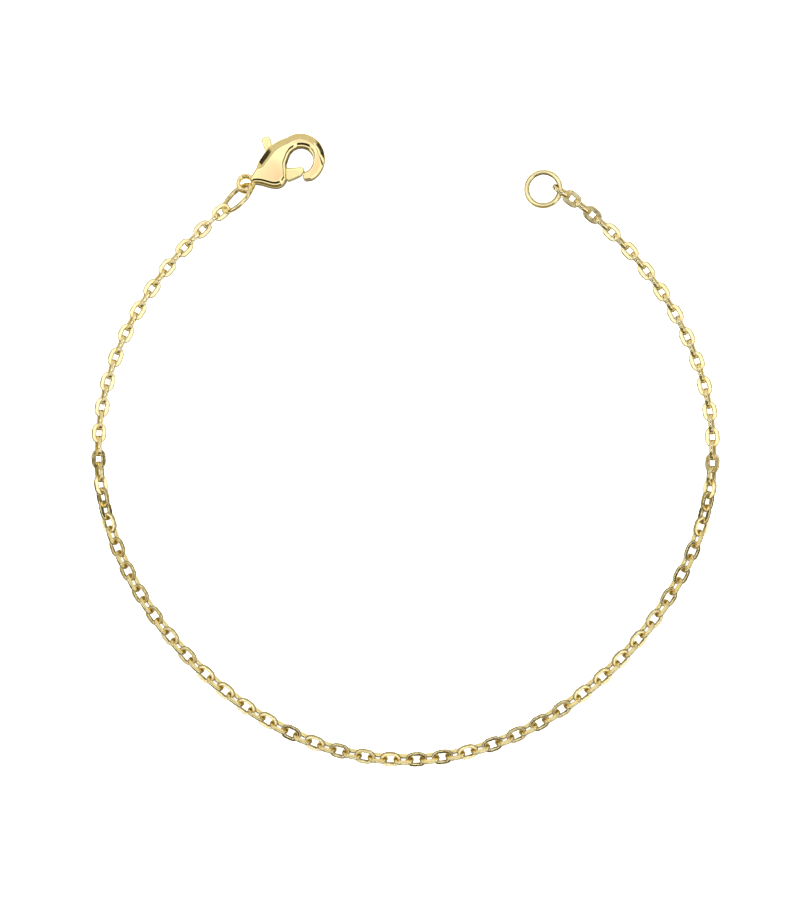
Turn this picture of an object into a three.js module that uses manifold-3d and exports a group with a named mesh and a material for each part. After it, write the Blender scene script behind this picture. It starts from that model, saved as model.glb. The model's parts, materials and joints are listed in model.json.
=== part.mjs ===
// A fine gold cable-chain bracelet with a lobster clasp, lying open on a table as a loop.
// Millimetres and degrees, +Z up, the table at z = 0, the origin in the middle of the bracelet's footprint.
import * as THREE from "three";
import { mergeVertices } from "three/addons/utils/BufferGeometryUtils.js";
import Module from "manifold-3d";

const wasm = await Module();
wasm.setup();

// The chain: oval links of flattened wire, each turned a quarter to the next.
const LINK_COUNT = 120;
const LINK_SIDES = 10;
const LINK_WIDTH = 1.54;
const WIRE_WIDTH = 0.39;
const WIRE_THICKNESS = 0.34;
const WIRE_RIDGE = 0.1; // how far the wire's rounded inner side stands proud of its flats
const LINK_BITE = 0.03; // how deep neighbouring links bear into each other
const HALVES_GAP = 0.06; // clear play between the chain's two halves

// The loop that the chain lies in. Its radius swells and shrinks a little round the loop.
const LOOP = { x: 0.01, y: -0.02, radius: 31.91, oval: 0.12, squareness: 0.44 };
const CHAIN_START = -142.25; // from the bottom of the loop, counter-clockwise
const CHAIN_END = 148.95;
const ROLL_AT_ARMS = -12; // how far the odd links' flats are rolled from level
const ROLL_AT_BOTTOM = -55;
const ROLL_CHANGE = { from: 70, to: 95 };
const CLASP_END_LIFT = { height: 0.55, length: 3.8 }; // the chain rises to the standing jump ring

// The rings at the two ends.
const END_RING = { x: 14.49, y: 27.43, diameter: 4.03, wire: 0.52, nearHeight: 0.77 };
const JUMP_RING = { x: -17.69, y: 26.23, z: 1.78, diameter: 4.0, wire: 0.48, heading: 44.5, tilt: 60.2 };
const RING_SIDES = 18;
const RING_WIRE_SIDES = 6;

// The clasp lies on its side. Its own frame has its origin in the eye, u towards the hook, v across it.
const CLASP = { x: -16.74, y: 27.9, heading: 25, thickness: 2.4 };
const EYE = { radius: 0.8, wire: 0.4 };
const HOOK_THICKNESS = 1.7;
const RIM = { width: 0.34, depth: 0.4 };
const HOOK_OUTSIDE = { u: 6.3, v: 0.05, radius: 2.6, from: 100, to: -92 };
const HOOK_INSIDE = { u: 6.2, v: -0.15, radius: 1.36, from: -98, to: 128 };
const SLOT_WIDTH = 0.9;
const PIVOT = { u: 3.9, v: 1.0, radius: 0.28 };
const LEVER_THICKNESS = 0.74;
const LEVER_PLAY = 0.08;
const LEVER_RIM = 0.07;

const GOLD = { color: 0xe6c46e, roughness: 0.18, metalness: 1 };

const UP = new THREE.Vector3(0, 0, 1);
const radians = THREE.MathUtils.degToRad;

/** A geometry's shape as a solid that can be joined and cut. */
function solidOf(geometry) {
  const bare = geometry.clone();
  bare.deleteAttribute("normal");
  bare.deleteAttribute("uv");
  const merged = mergeVertices(bare, 1e-4);
  return new wasm.Manifold(
    new wasm.Mesh({
      numProp: 3,
      vertProperties: merged.getAttribute("position").array,
      triVerts: new Uint32Array(merged.index.array),
    }),
  );
}

/** A solid's surface as a geometry. */
function geometryOf(solid) {
  const mesh = solid.getMesh();
  const geometry = new THREE.BufferGeometry();
  geometry.setAttribute("position", new THREE.BufferAttribute(mesh.vertProperties, 3));
  geometry.setIndex(new THREE.BufferAttribute(mesh.triVerts, 1));
  geometry.computeVertexNormals();
  return geometry;
}

function goldMesh(name, geometry) {
  const mesh = new THREE.Mesh(geometry, new THREE.MeshStandardMaterial(GOLD));
  mesh.name = name;
  return mesh;
}

function smoothstep(value, from, to) {
  const share = THREE.MathUtils.clamp((value - from) / (to - from), 0, 1);
  return share * share * (3 - 2 * share);
}

/** How far the odd links' flats are rolled from level at an angle round the loop. */
function rollAt(angle) {
  const arm = smoothstep(Math.abs(angle), ROLL_CHANGE.from, ROLL_CHANGE.to);
  return THREE.MathUtils.lerp(ROLL_AT_BOTTOM, ROLL_AT_ARMS, arm);
}

/** How high a link's middle is when the link, rolled about the chain's line, touches the table. */
function standingHeight(roll) {
  const across = (LINK_WIDTH / 2) * Math.abs(Math.sin(radians(roll)));
  const through = (WIRE_THICKNESS / 2) * Math.abs(Math.cos(radians(roll)));
  return across + through;
}

/** The line through the middles of all links, from the clasp's end to the end ring. */
class ChainLine extends THREE.Curve {
  constructor() {
    super();
    this.arcLengthDivisions = 4000;
  }

  angleAt(share) {
    return THREE.MathUtils.lerp(CHAIN_START, CHAIN_END, share);
  }

  getPoint(share, target = new THREE.Vector3()) {
    const angle = this.angleAt(share);
    const turn = radians(angle);
    const radius = LOOP.radius + LOOP.oval * Math.cos(2 * turn) + LOOP.squareness * Math.cos(4 * turn);
    const roll = rollAt(angle);
    const rest = Math.max(standingHeight(roll), standingHeight(roll + 90));
    const along = radians(angle - CHAIN_START) * radius;
    const rise = Math.max(0, 1 - along / CLASP_END_LIFT.length);
    return target.set(
      LOOP.x + radius * Math.sin(turn),
      LOOP.y - radius * Math.cos(turn),
      rest + CLASP_END_LIFT.height * rise * rise,
    );
  }
}

/** One link, flat in its own XY plane and long along X. */
function linkGeometry(pitch) {
  const inner = LINK_WIDTH / 2 - WIRE_WIDTH;
  const flat = WIRE_THICKNESS / 2;
  const section = [
    new THREE.Vector2(inner, 0),
    new THREE.Vector2(inner + WIRE_RIDGE, -flat),
    new THREE.Vector2(LINK_WIDTH / 2, -flat),
    new THREE.Vector2(LINK_WIDTH / 2, flat),
    new THREE.Vector2(inner + WIRE_RIDGE, flat),
    new THREE.Vector2(inner, 0),
  ];
  const link = new THREE.LatheGeometry(section, LINK_SIDES);
  link.rotateX(Math.PI / 2);
  const endSide = Math.cos(Math.PI / LINK_SIDES); // a straight side, not a corner, stands at each end
  const stretch = (pitch - LINK_BITE) / 2 - inner * endSide;
  const position = link.getAttribute("position");
  for (let i = 0; i < position.count; i += 1) {
    const x = position.getX(i);
    const isAtSide = Math.abs(x) < 1e-6;
    position.setX(i, isAtSide ? 0 : x + Math.sign(x) * stretch);
  }
  return link;
}

/** Where link number index lies: along the chain, rolled, every second one a quarter turn further. */
function linkPlace(line, index, pitch) {
  const isPastMeeting = index >= LINK_COUNT / 2;
  const along = index * pitch - (isPastMeeting ? LINK_BITE + HALVES_GAP : 0);
  const share = line.getUtoTmapping(along / line.getLength());
  const middle = line.getPoint(share);
  const forward = line.getTangent(share);
  const left = new THREE.Vector3().crossVectors(UP, forward).normalize();
  const above = new THREE.Vector3().crossVectors(forward, left);
  const quarter = index % 2 === 0 ? 0 : 90;
  const roll = radians(rollAt(line.angleAt(share)) + quarter);
  const place = new THREE.Matrix4().makeBasis(forward, left, above);
  place.multiply(new THREE.Matrix4().makeRotationX(roll));
  return place.setPosition(middle);
}

/** A run of links, each bearing into the next, as one solid. */
function chainHalf(name, first, last) {
  const line = new ChainLine();
  const pitch = (line.getLength() + LINK_BITE + HALVES_GAP) / (LINK_COUNT - 1);
  const link = linkGeometry(pitch);
  const solids = [];
  for (let index = first; index <= last; index += 1) {
    solids.push(solidOf(link.clone().applyMatrix4(linkPlace(line, index, pitch))));
  }
  return goldMesh(name, geometryOf(wasm.Manifold.union(solids)));
}

function ringGeometry(ring) {
  const middle = (ring.diameter - ring.wire) / 2;
  return new THREE.TorusGeometry(middle, ring.wire / 2, RING_WIRE_SIDES, RING_SIDES);
}

/** The plain ring that the clasp hooks into: its near side is carried by the last link. */
function endRing() {
  const ring = goldMesh("end_ring", ringGeometry(END_RING));
  const line = new ChainLine();
  const lastLink = line.getPoint(1);
  const heading = Math.atan2(lastLink.y - END_RING.y, lastLink.x - END_RING.x);
  const middle = (END_RING.diameter - END_RING.wire) / 2;
  const tilt = Math.asin((END_RING.nearHeight - END_RING.wire / 2) / (2 * middle));
  ring.rotation.set(0, -tilt, heading, "ZYX");
  ring.position.set(END_RING.x, END_RING.y, (END_RING.nearHeight + END_RING.wire / 2) / 2);
  return ring;
}

/** The ring between the clasp's eye and the first link: it leans on the table through both. */
function jumpRing() {
  const ring = goldMesh("jump_ring", ringGeometry(JUMP_RING));
  ring.rotation.set(-radians(JUMP_RING.tilt), 0, radians(JUMP_RING.heading), "ZYX");
  ring.position.set(JUMP_RING.x, JUMP_RING.y, JUMP_RING.z);
  return ring;
}

/** Points of a smooth curve through a few [u, v] places. */
function curveThrough(places, steps) {
  const curve = new THREE.SplineCurve(places.map(([u, v]) => new THREE.Vector2(u, v)));
  return curve.getPoints(steps);
}

/** Points of a round stretch, turning from one angle to the other. */
function arcPoints(arc, steps) {
  const points = [];
  for (let i = 0; i <= steps; i += 1) {
    const turn = radians(THREE.MathUtils.lerp(arc.from, arc.to, i / steps));
    points.push(new THREE.Vector2(arc.u + arc.radius * Math.cos(turn), arc.v + arc.radius * Math.sin(turn)));
  }
  return points;
}

/** The edge from the hook's root down the front wall and along the belly to the neck. */
function frontAndBelly() {
  return [
    new THREE.Vector2(4.72, 0.2),
    ...curveThrough([[4.05, -1.45], [3.55, -1.83], [2.75, -1.9], [1.72, -1.15], [0.85, -0.45]], 9),
  ];
}

/** The clasp's outline: over its back, round the hook, back inside it, and along the belly. */
function castingOutline() {
  return new THREE.Shape([
    ...curveThrough([[0.75, 0.36], [1.66, 0.89], [3.43, 2.14], [5.0, 2.62]], 7),
    ...arcPoints(HOOK_OUTSIDE, 13),
    new THREE.Vector2(5.69, -2.29),
    new THREE.Vector2(5.78, -1.8),
    ...arcPoints(HOOK_INSIDE, 12),
    ...frontAndBelly(),
  ]);
}

/** The thick middle of the clasp: a wedge that narrows to the neck, up to the hook's root. */
function wedgeOutline() {
  return new THREE.Shape([
    ...curveThrough([[0.85, 0.3], [1.8, 0.8], [3.4, 1.95], [4.9, 2.3]], 6),
    new THREE.Vector2(5.2, 1.6),
    ...frontAndBelly(),
  ]);
}

/** The gap between the clasp's two cheeks, in which the lever turns. It is open at the back and front. */
function slotOutline() {
  const outline = new THREE.Shape();
  outline.moveTo(4.55, 3.2);
  outline.lineTo(4.68, 1.35);
  outline.lineTo(4.7, 0.85);
  outline.lineTo(5.35, 0.4);
  outline.lineTo(5.35, -2.3);
  outline.lineTo(4.15, -2.3);
  outline.lineTo(3.72, -1.42);
  outline.lineTo(3.2, -1.2);
  outline.lineTo(2.95, 0.9);
  outline.lineTo(2.1, 1.6);
  outline.lineTo(1.9, 3.2);
  outline.closePath();
  return outline;
}

/** A plate with rounded rims, centred on the clasp's middle plane. */
function plate(outline, thickness, rimWidth, rimDepth, rimSegments) {
  const geometry = new THREE.ExtrudeGeometry(outline, {
    depth: thickness - 2 * rimDepth,
    bevelEnabled: rimDepth > 0,
    bevelThickness: rimDepth,
    bevelSize: rimWidth,
    bevelOffset: -rimWidth,
    bevelSegments: rimSegments,

  });
  return geometry.translate(0, 0, rimDepth - thickness / 2);
}

/** A round peg across the clasp's middle plane. */
function peg(u, v, radius, length, sides) {
  const geometry = new THREE.CylinderGeometry(radius, radius, length, sides);
  return geometry.rotateX(Math.PI / 2).translate(u, v, 0);
}

/** The clasp's casting: eye, cheeks, hook and the pivot between the cheeks. */
function claspBody() {
  const hook = solidOf(plate(castingOutline(), HOOK_THICKNESS, RIM.width, RIM.depth, 2));
  const wedge = solidOf(plate(wedgeOutline(), CLASP.thickness, RIM.width, RIM.depth, 2));
  const eye = solidOf(new THREE.TorusGeometry(EYE.radius, EYE.wire / 2, 6, 16));
  const slot = solidOf(plate(slotOutline(), SLOT_WIDTH, 0, 0, 0));
  const pivot = solidOf(peg(PIVOT.u, PIVOT.v, PIVOT.radius, SLOT_WIDTH + 0.3, 10));
  const casting = hook.add(wedge).add(eye).subtract(slot).add(pivot);
  return goldMesh("clasp_body", geometryOf(casting));
}

/** The lever: a thumb tab behind the pivot and a gate in front of it that closes the hook. */
function leverOutline() {
  const outline = new THREE.Shape();
  outline.moveTo(3.34, 0.7);
  outline.lineTo(3.32, 1.5);
  outline.lineTo(3.27, 2.4);
  outline.lineTo(3.39, 3.1);
  outline.absarc(3.87, 3.1, 0.48, radians(180), radians(0), true);
  outline.lineTo(4.26, 2.5);
  outline.lineTo(4.42, 1.5);
  outline.lineTo(4.5, 0.7);
  outline.lineTo(4.62, -0.38);
  outline.lineTo(5.26, -0.68);
  outline.lineTo(5.92, -0.88);
  outline.lineTo(6.1, -1.12);
  outline.lineTo(5.94, -1.38);
  outline.lineTo(5.66, -1.56);
  outline.lineTo(4.78, -1.74);
  outline.lineTo(4.2, -1.64);
  outline.lineTo(3.82, -1.22);
  outline.lineTo(3.45, -0.6);
  outline.closePath();
  return outline;
}

function claspLever() {
  const lever = solidOf(plate(leverOutline(), LEVER_THICKNESS, LEVER_RIM, LEVER_RIM, 1));
  const bore = solidOf(peg(PIVOT.u, PIVOT.v, PIVOT.radius + LEVER_PLAY, LEVER_THICKNESS + 0.2, 10));
  return goldMesh("clasp_lever", geometryOf(lever.subtract(bore)));
}

function clasp() {
  const group = new THREE.Group();
  group.position.set(CLASP.x, CLASP.y, CLASP.thickness / 2);
  group.rotation.z = radians(CLASP.heading);
  group.add(claspBody(), claspLever());
  return group;
}

const bracelet = new THREE.Group();
bracelet.add(
  clasp(),
  jumpRing(),
  chainHalf("chain_clasp_half", 0, LINK_COUNT / 2 - 1),
  chainHalf("chain_ring_half", LINK_COUNT / 2, LINK_COUNT - 1),
  endRing(),
);

export default bracelet;
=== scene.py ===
"""Gold cable-chain bracelet: fine meshes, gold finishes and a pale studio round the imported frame.

Every size is in metres in the frame's own axes: +Z up from the table, the table at z = 0.
"""

from __future__ import annotations

import json
import logging
import math
import random
from dataclasses import dataclass, field
from enum import Enum
from typing import Callable, Sequence

import bmesh
import bpy
from mathutils import Matrix, Vector

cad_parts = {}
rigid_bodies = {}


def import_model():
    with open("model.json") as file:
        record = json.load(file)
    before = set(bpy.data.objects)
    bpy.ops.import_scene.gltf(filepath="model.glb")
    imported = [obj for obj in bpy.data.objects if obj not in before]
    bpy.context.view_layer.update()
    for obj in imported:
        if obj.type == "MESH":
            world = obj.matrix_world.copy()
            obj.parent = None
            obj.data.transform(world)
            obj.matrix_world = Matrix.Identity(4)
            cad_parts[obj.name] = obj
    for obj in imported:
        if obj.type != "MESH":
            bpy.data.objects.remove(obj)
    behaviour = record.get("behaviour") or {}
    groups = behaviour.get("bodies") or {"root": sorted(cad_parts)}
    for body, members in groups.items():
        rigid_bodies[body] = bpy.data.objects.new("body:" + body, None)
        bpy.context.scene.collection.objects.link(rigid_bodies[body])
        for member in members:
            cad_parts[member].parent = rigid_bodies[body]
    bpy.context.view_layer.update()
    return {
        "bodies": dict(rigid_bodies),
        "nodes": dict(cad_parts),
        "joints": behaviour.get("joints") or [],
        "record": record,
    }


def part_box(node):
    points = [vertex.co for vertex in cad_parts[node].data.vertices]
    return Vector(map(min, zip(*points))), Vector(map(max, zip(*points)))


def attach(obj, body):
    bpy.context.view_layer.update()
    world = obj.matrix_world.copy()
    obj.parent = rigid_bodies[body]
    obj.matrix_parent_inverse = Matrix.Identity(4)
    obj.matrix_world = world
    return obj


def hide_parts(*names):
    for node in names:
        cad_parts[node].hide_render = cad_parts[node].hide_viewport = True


log = logging.getLogger("bracelet")

MM = 0.001
TONE = "plate_tone"
# Layer of painted shade at the seats where links meet, darker and warmer there.
SEAT_SHADE = "link_seat_shade"
# Layer of painted shade along the rims and on the rings' insides.
RIM_SHADE = "painted_rim_shade"
UP = Vector((0.0, 0.0, 1.0))
Corner = tuple[float, float]
Span = tuple[float, float]


# --------------------------------------------------------------------------------------------
# Small helpers
# --------------------------------------------------------------------------------------------


def smoothstep(value: float, start: float, end: float) -> float:
    """A soft step from 0 at start to 1 at end."""
    share = min(1.0, max(0.0, (value - start) / (end - start)))
    return share * share * (3.0 - 2.0 * share)


def mix(low: float, high: float, share: float) -> float:
    """The value a share of the way from low to high."""
    return low + (high - low) * share


def arc(centre: Corner, radius: float, start: float, end: float, steps: int) -> list[Corner]:
    """Places round a circle.

    Args:
        centre: The circle's middle.
        radius: Its radius.
        start: First angle in degrees.
        end: Last angle in degrees; below start, the places run clockwise.
        steps: How many equal steps lie between the two.

    Returns:
        The steps + 1 places.
    """
    turns = (math.radians(mix(start, end, i / steps)) for i in range(steps + 1))
    return [(centre[0] + radius * math.cos(t), centre[1] + radius * math.sin(t)) for t in turns]


def curve_through(places: Sequence[Corner], steps: int) -> list[Corner]:
    """Places on a smooth curve that passes through a few given ones.

    Args:
        places: What the curve passes through, in order.
        steps: How many steps it takes between neighbouring places.

    Returns:
        The places, from the first given one to the last.
    """
    padded = [places[0], *places, places[-1]]
    curve: list[Corner] = []
    for i in range(len(places) - 1):
        a, b, c, d = (Vector(p) for p in padded[i : i + 4])
        for k in range(steps):
            t = k / steps
            bend = (c - a) * t + (2 * a - 5 * b + 4 * c - d) * t**2 + (3 * b - 3 * c + d - a) * t**3
            curve.append(tuple(b + bend / 2))
    return [*curve, places[-1]]


def finished_object(name: str, mesh: bpy.types.Mesh) -> bpy.types.Object:
    """An object at the origin that shows a mesh.

    Args:
        name: Its name.
        mesh: The mesh.

    Returns:
        The object, in the scene.
    """
    piece = bpy.data.objects.new(name, mesh)
    bpy.context.scene.collection.objects.link(piece)
    return piece


def seated(piece: bpy.types.Object, node: str, body: str) -> bpy.types.Object:
    """Puts a piece in a CAD node's stead.

    Args:
        piece: The finished piece.
        node: The CAD node that it stands for.
        body: The CAD body that it rides on.

    Returns:
        The piece.
    """
    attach(piece, body)
    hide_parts(node)
    log.info("%s: %d faces in place of %s", piece.name, len(piece.data.polygons), node)
    return piece


def mesh_from(name: str, bm: bmesh.types.BMesh, smooth: bool | None = True) -> bpy.types.Mesh:
    """Turns a bmesh into a mesh and frees it.

    Args:
        name: The mesh's name.
        bm: The bmesh, freed afterwards.
        smooth: Whether its faces are shaded smooth; nothing leaves them as they are.

    Returns:
        The new mesh.
    """
    if smooth is not None:
        for face in bm.faces:
            face.smooth = smooth
    mesh = bpy.data.meshes.new(name)
    bm.to_mesh(mesh)
    bm.free()
    return mesh


# --------------------------------------------------------------------------------------------
# Shaders
# --------------------------------------------------------------------------------------------


class Wire:
    """A value that runs through a material: maths on it adds the nodes."""

    def __init__(self, shader: "Shader", socket: bpy.types.NodeSocket) -> None:
        """Wraps one socket of a shader's node."""
        self.shader = shader
        self.socket = socket

    def _with(self, operation: str, first: "Value", second: "Value") -> "Wire":
        """A Math node on two values."""
        return self.shader.node("ShaderNodeMath", {"operation": operation}, {0: first, 1: second})

    def __add__(self, other: "Value") -> "Wire":
        """This plus other."""
        return self._with("ADD", self, other)

    __radd__ = __add__

    def __sub__(self, other: "Value") -> "Wire":
        """This minus other."""
        return self._with("SUBTRACT", self, other)

    def __rsub__(self, other: "Value") -> "Wire":
        """Other minus this."""
        return self._with("SUBTRACT", other, self)

    def __mul__(self, other: "Value") -> "Wire":
        """This times other."""
        return self._with("MULTIPLY", self, other)

    __rmul__ = __mul__


Value = Wire | float | Sequence[float]
Colour = tuple[float, float, float]


class Shader:
    """A node tree under construction, of a material or of the world."""

    def __init__(self, tree: bpy.types.NodeTree) -> None:
        """Starts on a node tree."""
        self.tree = tree

    def node(
        self,
        kind: str,
        settings: dict[str, object] | None = None,
        inputs: dict[str | int, Value] | None = None,
        output: str | int = 0,
    ) -> Wire:
        """Makes any node.

        Args:
            kind: The node's type name.
            settings: Its own settings, set first. "stops" fills a colour ramp.
            inputs: Values or wires for its sockets, by name or number.
            output: The socket that is returned.

        Returns:
            The chosen output as a wire.
        """
        made = self.tree.nodes.new(kind)
        for key, value in (settings or {}).items():
            if key == "stops":
                self._fill_ramp(made.color_ramp, value)
            else:
                setattr(made, key, value)
        self.feed(made, inputs or {})
        return Wire(self, made.outputs[output])

    def feed(self, made: bpy.types.Node, inputs: dict[str | int, Value]) -> None:
        """Sets or links a node's sockets.

        Args:
            made: The node.
            inputs: Values or wires by socket name or number.
        """
        for key, value in inputs.items():
            socket = made.inputs[key]
            if isinstance(value, Wire):
                self.tree.links.new(value.socket, socket)
            else:
                socket.default_value = value

    @staticmethod
    def _fill_ramp(ramp: bpy.types.ColorRamp, stops: object) -> None:
        """Gives a colour ramp its stops.

        Args:
            ramp: The colour ramp.
            stops: A (position, grey) pair for each stop.
        """
        ramp.interpolation = "EASE"
        for index, (position, grey) in enumerate(stops):
            stop = ramp.elements[index] if index < 2 else ramp.elements.new(position)
            stop.position = position
            stop.color = (grey, grey, grey, 1.0)

    def noise(self, place: Wire, scale: float, detail: float = 2.0) -> Wire:
        """A smooth noise between 0 and 1 at a place, with scale features to a metre."""
        inputs: dict[str | int, Value] = {"Vector": place, "Scale": scale, "Detail": detail}
        return self.node("ShaderNodeTexNoise", None, inputs, "Fac")

    def step(self, value: Wire, span: Span) -> Wire:
        """A soft step from 0 at a span's start to 1 at its end."""
        start, end = span
        return self.node("ShaderNodeValToRGB", {"stops": [(start, 0.0), (end, 1.0)]}, {0: value})

    def blend(self, share: Value, low: Value, high: Value) -> Wire:
        """A colour a share of the way from low to high."""
        settings = {"data_type": "RGBA", "clamp_factor": True}
        return self.node("ShaderNodeMix", settings, {0: share, 6: low, 7: high}, 2)


class Grain(Enum):
    """How a gold surface was worked, as the lengthening of its finest marks along X, Y and Z."""

    CAST = (1.0, 1.0, 1.0)
    DRAWN = (0.25, 0.25, 1.0)


@dataclass(frozen=True)
class GoldFinish:
    """Polished gold plate over brass.

    Attributes:
        name: The material's name.
        colour: The plate's colour where it is thickest.
        warm: Its colour where the brass warms it.
        roughness: How rough the polish is at its best.
        haze: How much roughness the handling haze adds at most.
        ripple: Depth of the polishing ripple.
        ripple_scale: Ripples to a metre.
        grain: How the finest marks run.
        cloud_scale: Scale of the clouds of warmer plate, against the ripple's.
        smudge_scale: Scale of the smudges, against it.
        mark_scale: Scale of the finest marks, against it.
        mark_roughness: How much roughness the finest marks add at most.
        smudge_height: Share of the ripple's depth that the smudges take.
        mark_height: Share of it that the finest marks take.
        haze_from: Between which smudge values the haze sets in.
        warm_from: Between which cloud values the warmth sets in.
        warmth: How far a cloud takes the colour towards the warm one.
    """

    name: str
    colour: Colour
    warm: Colour
    roughness: float
    haze: float
    ripple: float
    ripple_scale: float
    grain: Grain = Grain.CAST
    cloud_scale: float = 0.35
    smudge_scale: float = 1.3
    mark_scale: float = 14.0
    mark_roughness: float = 0.03
    smudge_height: float = 0.7
    mark_height: float = 0.08
    haze_from: Span = (0.4, 0.75)
    warm_from: Span = (0.35, 0.7)
    warmth: float = 0.6

    def material(self) -> bpy.types.Material:
        """The finish as a node material on Object coordinates.

        Returns:
            The material.
        """
        made = bpy.data.materials.new(self.name)
        made.use_nodes = True
        shader = Shader(made.node_tree)
        principled = made.node_tree.nodes["Principled BSDF"]
        place = shader.node("ShaderNodeTexCoord", None, None, "Object")
        worked = shader.node("ShaderNodeMapping", None, {"Vector": place, "Scale": self.grain.value})
        cloud = shader.noise(place, self.ripple_scale * self.cloud_scale)
        smudge = shader.noise(place, self.ripple_scale * self.smudge_scale, detail=4.0)
        marks = shader.noise(worked, self.ripple_scale * self.mark_scale, detail=3.0)
        haze = shader.step(smudge, self.haze_from)
        tint = self.plate(shader, cloud)
        rough = haze * self.haze + marks * self.mark_roughness + self.roughness
        height = smudge * self.smudge_height + marks * self.mark_height
        bump_inputs: dict[str | int, Value] = {"Height": height, "Distance": self.ripple, "Strength": 1.0}
        bump = shader.node("ShaderNodeBump", None, bump_inputs)
        shader.feed(
            principled,
            {"Base Color": tint, "Metallic": 1.0, "Roughness": rough, "Normal": bump},
        )
        return made

    def plate(self, shader: Shader, cloud: Wire) -> Wire:
        """The plate's colour.

        Args:
            shader: The material's node tree.
            cloud: A broad noise from 0 to 1.

        Returns:
            The colour, warmer in the cloud's patches.
        """
        warmth = shader.step(cloud, self.warm_from)
        return shader.blend(warmth * self.warmth, (*self.colour, 1.0), (*self.warm, 1.0))


@dataclass(frozen=True)
class ToneAndShadeFinish(GoldFinish):
    """Gold plate on links and rings: toned link by link, with painted shade at the seats where links meet
    and along the rims.

    Attributes:
        seat_shade_colour: The colour of the painted shade at the seats where links meet.
        rim_shade_colour: The colour of the painted shade along a rim.
        strayed: The colour of the links that stray furthest from the even tone.
        tone_share: How far the furthest ones go towards it.
        rim_shade_share: How far a rim is painted towards that shade between the clouds.
        rim_shade_in_clouds: How much further it is painted towards it in them.
        seat_shade_share: How far the seats are painted towards that shade.
    """

    seat_shade_colour: Colour = (0.76, 0.57, 0.19)
    rim_shade_colour: Colour = (0.38, 0.34, 0.14)
    strayed: Colour = (0.90, 0.82, 0.54)
    tone_share: float = 0.7
    rim_shade_share: float = 0.5
    rim_shade_in_clouds: float = 0.6
    seat_shade_share: float = 0.85

    def plate(self, shader: Shader, cloud: Wire) -> Wire:
        """The plate's colour, toned link by link, with painted shade along the rims and at the seats.

        Args:
            shader: The material's node tree.
            cloud: A broad noise from 0 to 1.

        Returns:
            The colour.
        """
        tone, seat_shading, rim = (
            shader.node("ShaderNodeAttribute", {"attribute_name": name}, None, "Fac")
            for name in (TONE, SEAT_SHADE, RIM_SHADE)
        )
        toned = shader.blend(tone * self.tone_share, super().plate(shader, cloud), (*self.strayed, 1.0))
        # Painted shade along the rims, deeper in the clouds.
        rim_shade_depth = cloud * self.rim_shade_in_clouds + self.rim_shade_share
        rim_shade_colour = shader.blend(rim * rim_shade_depth, toned, (*self.rim_shade_colour, 1.0))
        # Painted shade at the seats where links meet.
        return shader.blend(seat_shading * self.seat_shade_share, rim_shade_colour, (*self.seat_shade_colour, 1.0))


GOLD: Colour = (0.97, 0.84, 0.45)
WARM_GOLD: Colour = (0.96, 0.79, 0.38)
PALE_GOLD: Colour = (0.82, 0.79, 0.40)
LINK_GOLD: Colour = (0.95, 0.85, 0.50)

CASTING_FINISH = GoldFinish("polished_cast_gold", GOLD, WARM_GOLD, 0.04, 0.05, 0.002 * MM, 900.0)
LEVER_FINISH = GoldFinish("pale_lever_gold", PALE_GOLD, GOLD, 0.14, 0.08, 0.002 * MM, 1100.0)
WIRE_FINISH = ToneAndShadeFinish(
    "drawn_wire_gold",
    LINK_GOLD,
    GOLD,
    0.05,
    0.05,
    0.0015 * MM,
    1300.0,
    Grain.DRAWN,
    # Deeper painted rim shade on the rings.
    rim_shade_colour=(0.30, 0.26, 0.10),
)
LINK_FINISH = ToneAndShadeFinish("bright_cut_gold", LINK_GOLD, WARM_GOLD, 0.09, 0.08, 0.0015 * MM, 1600.0)


# --------------------------------------------------------------------------------------------
# The chain
# --------------------------------------------------------------------------------------------


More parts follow.
